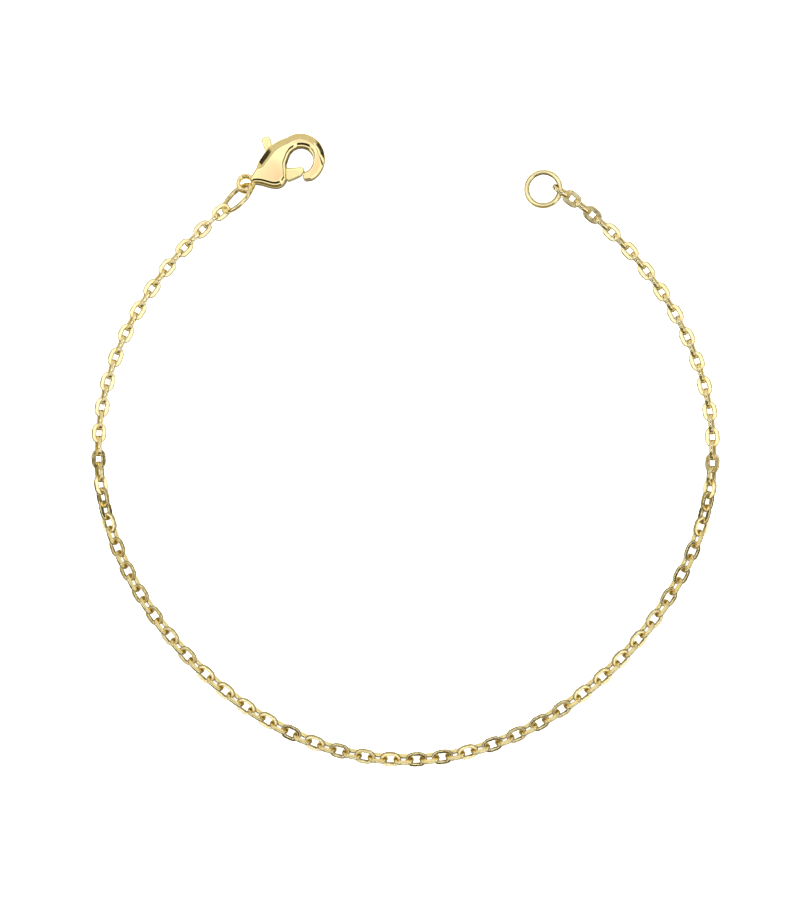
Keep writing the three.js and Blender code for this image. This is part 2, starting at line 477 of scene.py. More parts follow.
@dataclass(frozen=True)
class ChainLine:
    """The line through the middles of the links, round the loop in which the chain lies.

    Attributes:
        middle: The loop's middle on the table.
        radius: The loop's mean radius.
        oval: How much further out the line runs at the loop's top and bottom, and further in at its sides.
        squareness: How much it draws in on the four diagonals, and out between them.
        start: Angle of the first link from the bottom of the loop, counter-clockwise, in degrees.
        end: Angle of the last link.
        roll_at_arms: Roll of the flat links from level in the arms.
        roll_at_bottom: The same at the bottom of the loop.
        roll_change: Between which angles from the bottom the roll changes.
        quarter_at_arms: How far each link is turned about the line from the last in the arms.
        quarter_at_bottom: The same at the bottom of the loop.
        lift: How much higher the first link hangs, in the jump ring.
        lift_length: Along how much of the chain that lift fades.
        level_for: Over how many degrees from the first link the roll grows from none to its full size.
        steepness: How much of the line's slope the loose links follow.
    """

    middle: Corner = (0.01 * MM, -0.02 * MM)
    radius: float = 31.91 * MM
    oval: float = 0.12 * MM
    squareness: float = 0.44 * MM
    start: float = -142.25
    end: float = 148.95
    roll_at_arms: float = -12.0
    roll_at_bottom: float = -55.0
    roll_change: Span = (70.0, 95.0)
    quarter_at_arms: float = 88.0
    quarter_at_bottom: float = 72.0
    lift: float = 0.55 * MM
    lift_length: float = 3.8 * MM
    level_for: float = 6.0
    steepness: float = 0.4

    def roll(self, angle: float) -> float:
        """Roll of the flat links at an angle round the loop, in degrees.

        Args:
            angle: The angle round the loop, in degrees.

        Returns:
            The roll.
        """
        arm = smoothstep(abs(angle), *self.roll_change)
        rolled = smoothstep(angle - self.start, 0.0, self.level_for)
        return mix(self.roll_at_bottom, self.roll_at_arms, arm) * rolled

    def quarter(self, roll: float) -> float:
        """Turn from one link to the next where the flat links have a roll, in degrees."""
        share = min(1.0, roll / self.roll_at_bottom)
        return mix(self.quarter_at_arms, self.quarter_at_bottom, share)

    def place(self, angle: float, standing: Callable[[float], float]) -> Vector:
        """A place on the line.

        Args:
            angle: How far round the loop it is, in degrees.
            standing: Gives the line's height over the table for a roll in degrees.

        Returns:
            The place.
        """
        turn = math.radians(angle)
        radius = self.radius + self.oval * math.cos(2 * turn) + self.squareness * math.cos(4 * turn)
        roll = self.roll(angle)
        rest = standing(roll)
        along = math.radians(angle - self.start) * radius
        rise = max(0.0, 1.0 - along / self.lift_length)
        x = self.middle[0] + radius * math.sin(turn)
        y = self.middle[1] - radius * math.cos(turn)
        return Vector((x, y, rest + self.lift * rise * rise))


def drawn_on(bm: bmesh.types.BMesh, end: list, step: Vector) -> list:
    """Lengthens a wire by a straight step.

    Args:
        bm: The bmesh that holds the wire.
        end: The faces of its open end.
        step: Which way and how far it goes on.

    Returns:
        The faces of the new end.
    """
    made = bmesh.ops.extrude_face_region(bm, geom=end)["geom"]
    corners = [g for g in made if isinstance(g, bmesh.types.BMVert)]
    bmesh.ops.translate(bm, vec=step, verts=corners)
    return [g for g in made if isinstance(g, bmesh.types.BMFace)]


def bent_on(bm: bmesh.types.BMesh, end: list, centre: Vector, degrees: float, steps: int) -> list:
    """Bends a wire on round a centre, clockwise as seen from above.

    Args:
        bm: The bmesh that holds the wire.
        end: The faces of its open end.
        centre: The bend's middle.
        degrees: How far it bends.
        steps: In how many steps.

    Returns:
        The faces of the new end.
    """
    made = bmesh.ops.spin(
        bm,
        geom=end,
        cent=centre,
        axis=-UP,
        angle=math.radians(degrees),
        steps=steps,
        use_merge=False,
        use_duplicate=False,
    )
    return [g for g in made["geom_last"] if isinstance(g, bmesh.types.BMFace)]


@dataclass(frozen=True)
class CableLink:
    """One oval link of flattened wire.

    Attributes:
        width: Outside width.
        wire: Width of the flattened wire in the link's plane, along its sides.
        end_wire: The same at its ends.
        thickness: Thickness of the flattened wire.
        edge: How far the flattened wire's edges are rounded.
        play: How much longer the hole's half is than half the pitch.
        end_steps: Steps round each end.
        seat_shade_fade: Between which distances from where the next link bears the painted seat shade fades,
            as shares of the end's wire.
        hole_rim_shade: How dark the painted shade on the hole's rims is, as a share of that on the outer
            rims.
        flat_from: From how level a face is drawn flat, by the upright part of its normal.
    """

    width: float
    wire: float
    end_wire: float
    thickness: float
    edge: float
    play: float = 0.01 * MM
    end_steps: int = 8
    seat_shade_fade: Span = (0.25, 1.1)
    hole_rim_shade: float = 0.5
    flat_from: float = 0.99

    def standing(self, roll: float) -> float:
        """Height of the link's middle when it stands on the table at a roll in degrees.

        Args:
            roll: The roll, in degrees.

        Returns:
            The height.
        """
        turn = math.radians(roll)
        across = self.width / 2 * abs(math.sin(turn))
        through = self.thickness / 2 * abs(math.cos(turn))
        return across + through

    def mesh(self, pitch: float) -> bpy.types.Mesh:
        """The link, flat in its own XY plane and long along X.

        Args:
            pitch: Distance between the middles of neighbouring links.

        Returns:
            A closed mesh.
        """
        bm = bmesh.new()
        bend = (self.width - self.wire) / 2
        hole = pitch / 2 + self.play
        straight = hole + self.end_wire - self.wire / 2 - bend
        bmesh.ops.create_grid(bm, x_segments=1, y_segments=1, size=0.5)
        shape = Matrix.Diagonal((self.wire, self.thickness, 1.0, 1.0))
        stand = Matrix(((0, 0, 1, 0), (1, 0, 0, bend), (0, 1, 0, 0), (0, 0, 0, 1)))
        bmesh.ops.transform(bm, matrix=stand @ shape, verts=bm.verts)
        bmesh.ops.bevel(
            bm,
            geom=bm.verts[:],
            offset=self.edge,
            offset_type="OFFSET",
            affect="VERTICES",
            segments=2,
            profile=0.5,
            material=-1,
        )
        first = bm.faces[:]
        end = first
        for side in (straight, -straight):
            end = drawn_on(bm, end, Vector((side, 0.0, 0.0)))
            end = bent_on(bm, end, Vector((side, 0.0, 0.0)), 180.0, self.end_steps)
            end = drawn_on(bm, end, Vector((-side, 0.0, 0.0)))
        caps = [face for face in {*first, *end} if face.is_valid]
        bmesh.ops.delete(bm, geom=caps, context="FACES_ONLY")
        bmesh.ops.remove_doubles(bm, verts=bm.verts, dist=self.edge * 0.01)
        bmesh.ops.recalc_face_normals(bm, faces=bm.faces)
        seat_shading = bm.verts.layers.float.new(SEAT_SHADE)
        rim = bm.verts.layers.float.new(RIM_SHADE)
        for corner in bm.verts:
            beyond = max(0.0, abs(corner.co.x) - straight)
            from_bend = math.hypot(beyond, corner.co.y)
            outward = from_bend - bend
            # Painted shade along the rims, weaker on the hole's.
            side = smoothstep(abs(outward), self.wire / 2 - self.edge, self.wire / 2)
            corner[rim] = side if outward > 0.0 else side * self.hole_rim_shade
            inner_share = 0.5 - outward / self.wire
            thinned = (self.wire - self.end_wire) * inner_share * (beyond / from_bend) ** 2
            corner.co.x += math.copysign(thinned, corner.co.x)
            # Painted shade round the seats where the next link bears, fading away from them.
            away = math.hypot(abs(corner.co.x) - hole, corner.co.y)
            near, far = (self.end_wire * share for share in self.seat_shade_fade)
            corner[seat_shading] = 1.0 - smoothstep(away, near, far)
        mesh = mesh_from("link", bm)
        for face in mesh.polygons:
            face.use_smooth = abs(face.normal.z) < self.flat_from
        return mesh


class Half(Enum):
    """The two halves of the chain, by the node that each stands for, with their first and last link."""

    CLASP = ("chain_clasp_half", 0, 59)
    RING = ("chain_ring_half", 60, 119)


@dataclass
class CableChain:
    """The whole chain: links in a row along the line, each turned by about a quarter from the last.

    Attributes:
        line: Where the links' middles lie.
        flat_link: The links that lie nearly flat in the arms: rolling has spread them in their plane.
        upright_link: The links between them: rolling has spread them across their plane.
        count: How many links there are.
        wobble: How far a link's roll strays from the even one, in degrees.
        rim_shade_from_flat: Between which cosines of a link's roll the painted shade on its rims sets in.
        samples: Steps in which the line's length is measured.
    """

    line: ChainLine = field(default_factory=ChainLine)
    flat_link: CableLink = CableLink(1.58 * MM, 0.55 * MM, 0.40 * MM, 0.32 * MM, 0.13 * MM)
    upright_link: CableLink = CableLink(1.60 * MM, 0.40 * MM, 0.42 * MM, 0.46 * MM, 0.12 * MM)
    count: int = 120
    wobble: float = 2.5
    rim_shade_from_flat: Span = (0.3, 0.9)
    samples: int = 4000

    def __post_init__(self) -> None:
        """Measures the line, so that links can be spaced evenly along it."""
        share = [i / self.samples for i in range(self.samples + 1)]
        self.angles = [mix(self.line.start, self.line.end, s) for s in share]
        places = [self.line.place(a, self.standing) for a in self.angles]
        self.reach = [0.0]
        for before, after in zip(places, places[1:]):
            self.reach.append(self.reach[-1] + (after - before).length)
        self.pitch = self.reach[-1] / (self.count - 1)

    def standing(self, roll: float) -> float:
        """Height of the line where the flat links have a roll in degrees and all links clear the table."""
        turned = roll + self.line.quarter(roll)
        return max(self.flat_link.standing(roll), self.upright_link.standing(turned))

    def angle_at(self, along: float) -> float:
        """The angle round the loop that is reached after a length of chain.

        Args:
            along: The length of chain from its start.

        Returns:
            The angle, in degrees.
        """
        along = min(max(along, 0.0), self.reach[-1])
        after = next(i for i, reach in enumerate(self.reach) if reach >= along)
        if after == 0:
            return self.angles[0]
        span = self.reach[after] - self.reach[after - 1]
        share = (along - self.reach[after - 1]) / span
        return mix(self.angles[after - 1], self.angles[after], share)

    def own_roll(self, index: int) -> float:
        """Roll of a link about the line from lying flat, in degrees, without its wobble."""
        flat_roll = self.line.roll(self.angle_at(index * self.pitch))
        return flat_roll + (self.line.quarter(flat_roll) if index % 2 else 0.0)

    def link_place(self, index: int, wobble: float) -> Matrix:
        """Where a link lies.

        Args:
            index: Its number along the chain.
            wobble: Its own stray roll, in degrees.

        Returns:
            The matrix from the link's own frame.
        """
        angle = self.angle_at(index * self.pitch)
        step = 0.2
        before = self.line.place(angle - step, self.standing)
        after = self.line.place(angle + step, self.standing)
        forward = after - before
        forward.z *= self.line.steepness
        forward.normalize()
        left = UP.cross(forward).normalized()
        above = forward.cross(left)
        roll = Matrix.Rotation(math.radians(self.own_roll(index) + wobble), 4, "X")
        axes = Matrix((forward, left, above)).transposed().to_4x4()
        return Matrix.Translation(self.line.place(angle, self.standing)) @ axes @ roll

    def build(self, half: Half, finish: GoldFinish) -> bpy.types.Object:
        """Makes one half of the chain.

        Args:
            half: Which half.
            finish: Its finish.

        Returns:
            The finished piece, riding on its body.
        """
        node, first, last = half.value
        chance = random.Random(node)
        links = [self.flat_link.mesh(self.pitch), self.upright_link.mesh(self.pitch)]
        bm = bmesh.new()
        tone = bm.verts.layers.float.new(TONE)
        rim = bm.verts.layers.float.new(RIM_SHADE)
        for index in range(first, last + 1):
            count = len(bm.verts)
            bm.from_mesh(links[index % 2])
            bm.verts.ensure_lookup_table()
            added = bm.verts[count:]
            wobble = chance.uniform(-self.wobble, self.wobble)
            bmesh.ops.transform(bm, matrix=self.link_place(index, wobble), verts=added)
            own_tone = chance.random()
            # The rims' painted shade is kept only on links that lie near level.
            level = abs(math.cos(math.radians(self.own_roll(index))))
            flatness = smoothstep(level, *self.rim_shade_from_flat)
            for corner in added:
                corner[tone] = own_tone
                corner[rim] *= flatness
        piece = finished_object(node + "_links", mesh_from(node, bm, smooth=None))
        piece.data.materials.append(finish.material())
        return seated(piece, node, "root")


# --------------------------------------------------------------------------------------------
# The rings
# --------------------------------------------------------------------------------------------


@dataclass
class WireRing:
    """A ring bent from round wire, with painted shade on its inside and its butt joint left open by a hair.

    Attributes:
        node: The CAD node that it stands for.
        diameter: Outside diameter.
        wire: The wire's diameter.
        turned: Turns the ring from flat to how it lies.
        joint: Where the butt joint is, in degrees in the ring's own plane.
        rim_shade_depth: How dark the painted shade on the ring's inside is.
        joint_gap: How wide the joint is open.
        inside_shade: From where to where on the wire's inner half the painted shade sets in, as shares of
            that half.
        wire_sides: Sides of the wire.
        steps: Steps round the ring.
    """

    node: str
    diameter: float
    wire: float
    turned: Matrix
    joint: float
    rim_shade_depth: float
    joint_gap: float = 0.03 * MM
    inside_shade: Span = (0.45, 0.9)
    wire_sides: int = 20
    steps: int = 96

    def build(self, finish: GoldFinish) -> bpy.types.Object:
        """Makes the ring in the middle of its CAD node's box.

        Args:
            finish: Its finish.

        Returns:
            The finished piece, riding on its body.
        """
        bm = bmesh.new()
        bend = (self.diameter - self.wire) / 2
        bmesh.ops.create_circle(bm, cap_ends=True, radius=self.wire / 2, segments=self.wire_sides)
        stand = Matrix(((1, 0, 0, bend), (0, 0, -1, 0), (0, 1, 0, 0), (0, 0, 0, 1)))
        bmesh.ops.transform(bm, matrix=stand, verts=bm.verts)
        open_degrees = math.degrees(self.joint_gap / bend)
        bent_on(bm, bm.faces[:], Vector(), 360.0 - open_degrees, self.steps)
        rims = [e for e in bm.edges if any(len(f.verts) == self.wire_sides for f in e.link_faces)]
        bmesh.ops.bevel(
            bm,
            geom=rims,
            offset=self.joint_gap,
            offset_type="OFFSET",
            affect="EDGES",
            segments=2,
            profile=0.5,
            material=-1,
        )
        rim = bm.verts.layers.float.new(RIM_SHADE)
        # Painted shade on the ring's inside.
        for corner in bm.verts:
            inward = (bend - math.hypot(corner.co.x, corner.co.y)) / (self.wire / 2)
            corner[rim] = self.rim_shade_depth * smoothstep(inward, *self.inside_shade)
        low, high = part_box(self.node)
        place = Matrix.Translation((low + high) / 2) @ self.turned
        start = Matrix.Rotation(math.radians(self.joint), 4, "Z")
        bmesh.ops.transform(bm, matrix=place @ start, verts=bm.verts)
        bmesh.ops.recalc_face_normals(bm, faces=bm.faces)
        piece = finished_object(self.node + "_wire", mesh_from(self.node, bm))
        piece.data.materials.append(finish.material())
        return seated(piece, self.node, "root")


def end_ring(chain: CableChain) -> WireRing:
    """The plain ring in the last link, tilted as its CAD node's box tells.

    Args:
        chain: The chain, whose last link carries the ring's near side.

    Returns:
        The ring.
    """
    low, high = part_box("end_ring")
    middle = (low + high) / 2
    diameter, wire = 4.11 * MM, 0.58 * MM
    joint, rim_shade_depth = 100.0, 1.0
    last = chain.line.place(chain.line.end, chain.standing)
    heading = Matrix.Rotation(math.atan2(last.y - middle.y, last.x - middle.x), 4, "Z")
    tilt = math.asin((high.z - low.z - wire) / (diameter - wire))
    turned = heading @ Matrix.Rotation(-tilt, 4, "Y")
    return WireRing("end_ring", diameter, wire, turned, joint, rim_shade_depth)


def jump_ring() -> WireRing:
    """The ring that leans through the clasp's eye and the first link, pulled a little oval.

    Returns:
        The ring.
    """
    diameter, wire = 4.0 * MM, 0.54 * MM
    joint, rim_shade_depth = 250.0, 0.35
    along_chain, from_flat = math.radians(44.5), math.radians(-60.2)
    towards_eye, stretch = 0.15 * MM, 1.07
    heading = Matrix.Rotation(along_chain, 4, "Z")
    pulled = Matrix.Translation((towards_eye, 0.0, 0.0))
    lean = Matrix.Rotation(from_flat, 4, "X")
    oval = Matrix.Diagonal((stretch, 1.0, 1.0, 1.0))
    return WireRing("jump_ring", diameter, wire, heading @ pulled @ lean @ oval, joint, rim_shade_depth)


# --------------------------------------------------------------------------------------------
# The clasp, in its own frame: u along it from the eye, v across, in millimetres
# --------------------------------------------------------------------------------------------


EDGE_ROUND = 0.09  # radius of the quarter round along every outline
SAME = 1e-6  # places nearer than this are one place
MERGE = 1e-5  # corners nearer than this are merged


@dataclass(frozen=True)
class Rim:
    """How a plate's face falls towards its outline.

    Attributes:
        reach: How far in from the outline the fall starts.
        drop: How far it falls.
        power: How it quickens towards the outline: 1 is a flat bevel, 2 a rounded one.
    """

    reach: float
    drop: float
    power: float = 1.6

    def towards(self, other: "Rim", share: float) -> "Rim":
        """The rim a share of the way to another.

        Args:
            other: The other rim.
            share: How far to go towards it, from 0 to 1.

        Returns:
            The rim in between.
        """
        return Rim(
            mix(self.reach, other.reach, share),
            mix(self.drop, other.drop, share),
            mix(self.power, other.power, share),
        )


@dataclass(frozen=True)
class Side:
    """One side of a plate's outline.

    Attributes:
        path: Places along the side, counter-clockwise round the plate.
        rim: The rim at its start.
        end_rim: The rim at its end, where it differs.
    """

    path: Sequence[Corner]
    rim: Rim
    end_rim: Rim | None = None

    def nearest(self, place: Corner) -> tuple[float, float]:
        """How far a place is from this side, and how far along the side that is, from 0 to 1.

        Args:
            place: The place, seen from above.

        Returns:
            The distance, and the share of the way along the side.
        """
        best = (math.inf, 0.0)
        count = len(self.path) - 1
        for index, ((au, av), (bu, bv)) in enumerate(zip(self.path, self.path[1:])):
            run = (bu - au, bv - av)
            length2 = run[0] ** 2 + run[1] ** 2
            share = ((place[0] - au) * run[0] + (place[1] - av) * run[1]) / length2
            share = min(1.0, max(0.0, share))
            gap = math.hypot(au + run[0] * share - place[0], av + run[1] * share - place[1])
            best = min(best, (gap, (index + share) / count))
        return best

    def fall(self, place: Corner) -> float:
        """How far the face has fallen at a place.

        Args:
            place: The place, seen from above.

        Returns:
            The fall below the face's full height.
        """
        distance, along = self.nearest(place)
        rim = self.rim.towards(self.end_rim, along) if self.end_rim else self.rim
        slope = 1.0 - min(1.0, distance / rim.reach)
        edge = 1.0 - min(1.0, distance / EDGE_ROUND)
        return rim.drop * slope**rim.power + EDGE_ROUND * (1.0 - math.sqrt(1.0 - edge * edge))


@dataclass
class Plate:
    """A cast plate that is alike above and below its middle plane, with rounded rims.

    Attributes:
        sides: The sides of its outline, in order.
        half: Half its thickness at a place.
        loops: How far in from its outline the loops of faces along it lie.
        cell: Size of the facets of its face.
    """

    sides: Sequence[Side]
    half: Callable[[Corner], float]
    loops: Sequence[float] = (0.012, 0.045, 0.09)
    cell: float = 0.05

    def outline(self) -> list[Corner]:
        """The whole outline, without repeated places.

        Returns:
            Its corners, in order.
        """
        places: list[Corner] = []
        for side in self.sides:
            places += [p for p in side.path if not places or math.dist(p, places[-1]) > SAME]
        return places[:-1] if math.dist(places[0], places[-1]) < SAME else places

    def solid(self) -> bmesh.types.BMesh:
        """The closed plate.

        Returns:
            The solid, with no gap in its surface.
        """
        bm = bmesh.new()
        face = bm.faces.new([bm.verts.new((u, v, 0.0)) for u, v in self.outline()])
        raised = bmesh.ops.extrude_face_region(bm, geom=[face])["geom"]
        top = [g for g in raised if isinstance(g, bmesh.types.BMFace)]
        bmesh.ops.translate(bm, vec=UP, verts=top[0].verts)
        before = 0.0
        for inward in self.loops:
            bmesh.ops.inset_region(
                bm, faces=top, thickness=inward - before, use_boundary=True, use_even_offset=True
            )
            before = inward
        self._cut_into_cells(bm, top[0])
        for corner in bm.verts:
            if corner.co.z > 0.5:
                place = (corner.co.x, corner.co.y)
                corner.co.z = self.half(place) - max(side.fall(place) for side in self.sides)
        floor = [f for f in bm.faces if max(v.co.z for v in f.verts) < SAME]
        bmesh.ops.delete(bm, geom=floor, context="FACES_ONLY")
        bmesh.ops.mirror(bm, geom=[*bm.verts, *bm.edges, *bm.faces], axis="Z", merge_dist=MERGE)
        bmesh.ops.remove_doubles(bm, verts=bm.verts, dist=MERGE)
        bmesh.ops.recalc_face_normals(bm, faces=bm.faces)
        return bm

    def _cut_into_cells(self, bm: bmesh.types.BMesh, face: bmesh.types.BMFace) -> None:
        """Cuts a face into square cells.

        Args:
            bm: The mesh that the face is in.
            face: The face.
        """
        spans = [(min(v.co[i] for v in face.verts), max(v.co[i] for v in face.verts)) for i in (0, 1)]
        cells = {face}
        for axis, (low, high) in enumerate(spans):
            normal = Vector((1.0, 0.0, 0.0)) if axis == 0 else Vector((0.0, 1.0, 0.0))
            for step in range(1, int((high - low) / self.cell) + 1):
                cut_at = normal * (low + step * self.cell)
                geom = [*cells, *{e for f in cells for e in f.edges}, *{v for f in cells for v in f.verts}]
                made = bmesh.ops.bisect_plane(bm, geom=geom, dist=MERGE, plane_co=cut_at, plane_no=normal)
                cells = {g for g in made["geom"] if isinstance(g, bmesh.types.BMFace)}


def prism(outline: Sequence[Corner], thickness: float) -> bmesh.types.BMesh:
    """A straight-walled plate centred on the middle plane.

    Args:
        outline: Its corners, in order.
        thickness: Its whole thickness.

    Returns:
        The plate.
    """
    bm = bmesh.new()
    face = bm.faces.new([bm.verts.new((u, v, -thickness / 2)) for u, v in outline])
    made = bmesh.ops.extrude_face_region(bm, geom=[face])["geom"]
    corners = [g for g in made if isinstance(g, bmesh.types.BMVert)]
    bmesh.ops.translate(bm, vec=UP * thickness, verts=corners)
    bmesh.ops.recalc_face_normals(bm, faces=bm.faces)
    return bm


def peg(centre: Corner, radius: float, length: float) -> bmesh.types.BMesh:
    """A round peg across the middle plane.

    Args:
        centre: Its middle, seen from above.
        radius: Its radius.
        length: Its whole length.

    Returns:
        The peg.
    """
    bm = bmesh.new()
    bmesh.ops.create_cone(
        bm, cap_ends=True, segments=40, radius1=radius, radius2=radius, depth=length,
        matrix=Matrix.Translation((*centre, 0.0)),
    )
    return bm


def torus(radius: float, wire: float) -> bmesh.types.BMesh:
    """A closed ring of round wire, flat in the middle plane, round the origin.

    Args:
        radius: From its middle to the middle of its wire.
        wire: The wire's diameter.

    Returns:
        The ring.
    """
    bm = bmesh.new()
    bmesh.ops.create_circle(bm, cap_ends=False, radius=wire / 2, segments=20)
    stand = Matrix(((1, 0, 0, radius), (0, 0, -1, 0), (0, 1, 0, 0), (0, 0, 0, 1)))
    bmesh.ops.transform(bm, matrix=stand, verts=bm.verts)
    bmesh.ops.spin(
        bm, geom=[*bm.verts, *bm.edges], cent=Vector(), axis=UP,
        angle=2 * math.pi, steps=64, use_merge=True, use_duplicate=False,
    )
    bmesh.ops.remove_doubles(bm, verts=bm.verts, dist=MERGE)
    bmesh.ops.recalc_face_normals(bm, faces=bm.faces)
    return bm


def joined(base: bmesh.types.BMesh, steps: Sequence[tuple[str, bmesh.types.BMesh]]) -> bpy.types.Mesh:
    """Cuts and joins solids.

    Args:
        base: The solid to start from.
        steps: What to do in turn: "UNION" or "DIFFERENCE", and the solid to do it with.

    Returns:
        The resulting mesh. All the solids given are freed.
    """
    body = finished_object("body", mesh_from("body", base))
    tools = []
    for operation, solid in steps:
        tool = finished_object("tool", mesh_from("tool", solid))
        tools.append(tool)
        cut = body.modifiers.new("cut", "BOOLEAN")
        cut.operation = operation
        cut.object = tool
        cut.solver = "EXACT"
    graph = bpy.context.evaluated_depsgraph_get()
    made = bpy.data.meshes.new_from_object(body.evaluated_get(graph))
    for scrap in (body, *tools):
        mesh = scrap.data
        bpy.data.objects.remove(scrap)
        bpy.data.meshes.remove(mesh)
    return made


@dataclass
class LobsterClasp:
    """The lobster clasp: a casting with its eye, cheeks and hook, and a lever on a pivot.

    Attributes:
        heading: Which way the clasp points, in degrees from +X.
        eye_radius: Radius of the eye, to the middle of its wire.
        eye_wire: Thickness of the eye's wire.
        eye_lean: How far the eye leans along u and v for each unit of its height.
        body_half: Half the thickness at the cheeks.
        hook_half: Half the thickness at the hook.
        hook_from: Along u, where the cheeks' thickness starts to fade into the hook's.
        hook_to: Where that ends.
        outside: Middle and radius of the hook's outer edge.
        inside: Middle and radius of the hook's inner edge.
        slot_width: Width of the gap between the cheeks.
        pivot: Where the lever's pivot is.
        pivot_radius: The pivot's radius.
        pivot_seat: How deep the pivot's ends sit in the two cheeks together.
        lever_half: Half the lever's thickness.
        lever_play: How much wider the lever's bore is than the pivot, to a side.
        lever_rim: The lever's rounded rim.
        lever_loops: How far in from the lever's outline the loops of faces along it lie.
        lever_cell: Size of the facets of the lever's face.
        crown: How far the cheeks fall at 1 mm from the crown's middle.
        crown_middle: Where the cheeks stand highest.
        sharp: From which angle in degrees an edge is drawn crisp.
    """

    heading: float = 25.0
    eye_radius: float = 0.79
    eye_wire: float = 0.5
    eye_lean: Corner = (0.24, 0.52)
    body_half: float = 1.2
    hook_half: float = 0.85
    hook_from: float = 3.4
    hook_to: float = 8.4
    outside: tuple[Corner, float] = ((6.32, -0.01), 2.6)
    inside: tuple[Corner, float] = ((6.24, -0.26), 1.32)
    slot_width: float = 0.9
    pivot: Corner = (3.9, 1.0)
    pivot_radius: float = 0.28
    pivot_seat: float = 0.3
    lever_half: float = 0.37
    lever_play: float = 0.08
    lever_rim: Rim = Rim(0.2, 0.06)
    lever_loops: tuple[float, float, float] = (0.02, 0.05, 0.1)
    lever_cell: float = 0.07
    crown: float = 0.02
    crown_middle: Corner = (3.5, -0.2)
    sharp: float = 40.0

    def half(self, place: Corner) -> float:
        """Half the casting's thickness at a place.

        Args:
            place: The place, seen from above.

        Returns:
            Half the thickness.
        """
        fade = smoothstep(place[0], self.hook_from, self.hook_to)
        crown = self.crown * math.dist(place, self.crown_middle) ** 2
        return mix(self.body_half - crown, self.hook_half, fade)

    def sides(self) -> list[Side]:
        """The casting's sides: its neck, belly, front, the hook inside and out, its tip and its back.

        Returns:
            The sides, in order round the casting.
        """
        neck_below = (0.85, -0.45)
        neck_above = (0.75, 0.36)
        chin = (4.02, -1.5)
        root = (4.74, 0.1)
        belly = curve_through([neck_below, (1.38, -0.78), (2.34, -1.6), (3.04, -1.9), (3.6, -1.8), chin], 9)
        back = curve_through([self.outer(100.0, 100.0)[0], (5.0, 2.6), (3.9, 2.42), (2.87, 1.92)], 12)
        shoulder = curve_through([back[-1], (2.18, 1.48), (1.62, 0.9)], 8)
        tip_below = self.outer(-88.0, -88.0)[0]
        tip_above = self.inner(-98.0, -98.0)[0]
        point = [tip_above, (5.8, -1.85), (5.7, -2.05), (5.72, -2.25), (5.86, -2.42), tip_below]
        neck = Rim(0.2, 0.1)
        neck_belly = Rim(0.6, 0.21, 2.0)
        neck_back = Rim(0.82, 0.5, 1.3)
        cheek = Rim(0.8, 0.28, 2.0)
        chin_rim = Rim(0.66, 0.23, 2.0)
        front = Rim(0.4, 0.165, 1.4)
        back_rim = Rim(0.88, 0.54, 1.3)
        hook_top = Rim(0.72, 0.46, 1.3)
        hook_far = Rim(0.5, 0.08)
        hook_tip = Rim(0.3, 0.06)
        hook_in = Rim(0.22, 0.07)
        hook_under = Rim(0.78, 0.27, 2.0)
        return [
            Side([neck_above, (0.6, -0.05), neck_below], neck),
            Side(belly[:28], neck_belly, cheek),
            Side(belly[27:], cheek, chin_rim),
            Side([chin, (4.44, -0.65), root, *self.inner(128.0, 118.0)], front),
            Side(self.inner(118.0, 75.0), front, hook_under),
            Side(self.inner(75.0, 20.0), hook_under),
            Side(self.inner(20.0, -20.0), hook_under, hook_in),
            Side(self.inner(-20.0, -98.0), hook_in),
            Side(point, hook_in, hook_tip),
            Side(self.outer(-88.0, -45.0), hook_tip, hook_far),
            Side(self.outer(-45.0, -12.0), hook_far, hook_top),
            Side(self.outer(-12.0, 100.0), hook_top),
            Side(back, hook_top, back_rim),
            Side(shoulder[:9], back_rim, neck_back),
            Side(shoulder[8:], neck_back, neck),
            Side([shoulder[-1], (1.14, 0.56), neck_above], neck),
        ]

    def inner(self, start: float, end: float) -> list[Corner]:
        """A stretch of the hook's inner edge."""
        return arc(*self.inside, start, end, max(1, round(abs(end - start) / 5)))

    def outer(self, start: float, end: float) -> list[Corner]:
        """A stretch of the hook's outer edge."""
        return arc(*self.outside, start, end, max(1, round(abs(end - start) / 4)))

    def lever_sides(self) -> list[Side]:
        """The lever's sides: the thumb tab's round end, its front, the gate, and the way back.

        Returns:
            The sides, in order round the lever.
        """
        tab = arc((3.86, 3.12), 0.52, 0.0, 180.0, 20)
        rear = [tab[-1], (3.27, 2.4), (3.32, 1.5), (3.34, 0.7), (3.45, -0.6), (3.82, -1.22), (4.2, -1.72)]
        under = [rear[-1], (4.9, -1.78), (5.5, -1.77), (5.7, -1.71), (5.82, -1.6)]
        gate = [under[-1], (6.14, -1.42), (6.2, -1.1), (6.14, -0.94), (5.3, -0.62), (4.62, -0.34)]
        over = [*gate, (4.5, 0.7), (4.42, 1.5), (4.26, 2.5), tab[0]]
        return [Side(path, self.lever_rim) for path in (tab, rear, under, over)]

    def slot(self) -> list[Corner]:
        """The gap between the cheeks, seen from above: it is open at the back and at the front.

        Returns:
            Its outline.
        """
        return [
            (4.55, 3.2), (1.9, 3.2), (2.1, 1.6), (2.95, 0.9), (3.2, -1.2), (3.72, -1.42),
            (4.15, -2.3), (5.35, -2.3), (5.35, 0.4), (4.7, 0.85), (4.68, 1.35),
        ]

    def place(self, frame: dict) -> Matrix:
        """Puts the clasp's own frame, in millimetres, where the lever's pivot is.

        Args:
            frame: The loaded frame, which tells where the lever's pivot is.

        Returns:
            The matrix from the clasp's own frame.
        """
        pivot = Vector(frame["joints"][0]["pos_m"])
        low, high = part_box("clasp_body")
        pivot.z = (low.z + high.z) / 2
        turn = Matrix.Rotation(math.radians(self.heading), 4, "Z")
        back = Matrix.Translation((-self.pivot[0], -self.pivot[1], 0.0))
        return Matrix.Translation(pivot) @ turn @ Matrix.Scale(MM, 4) @ back

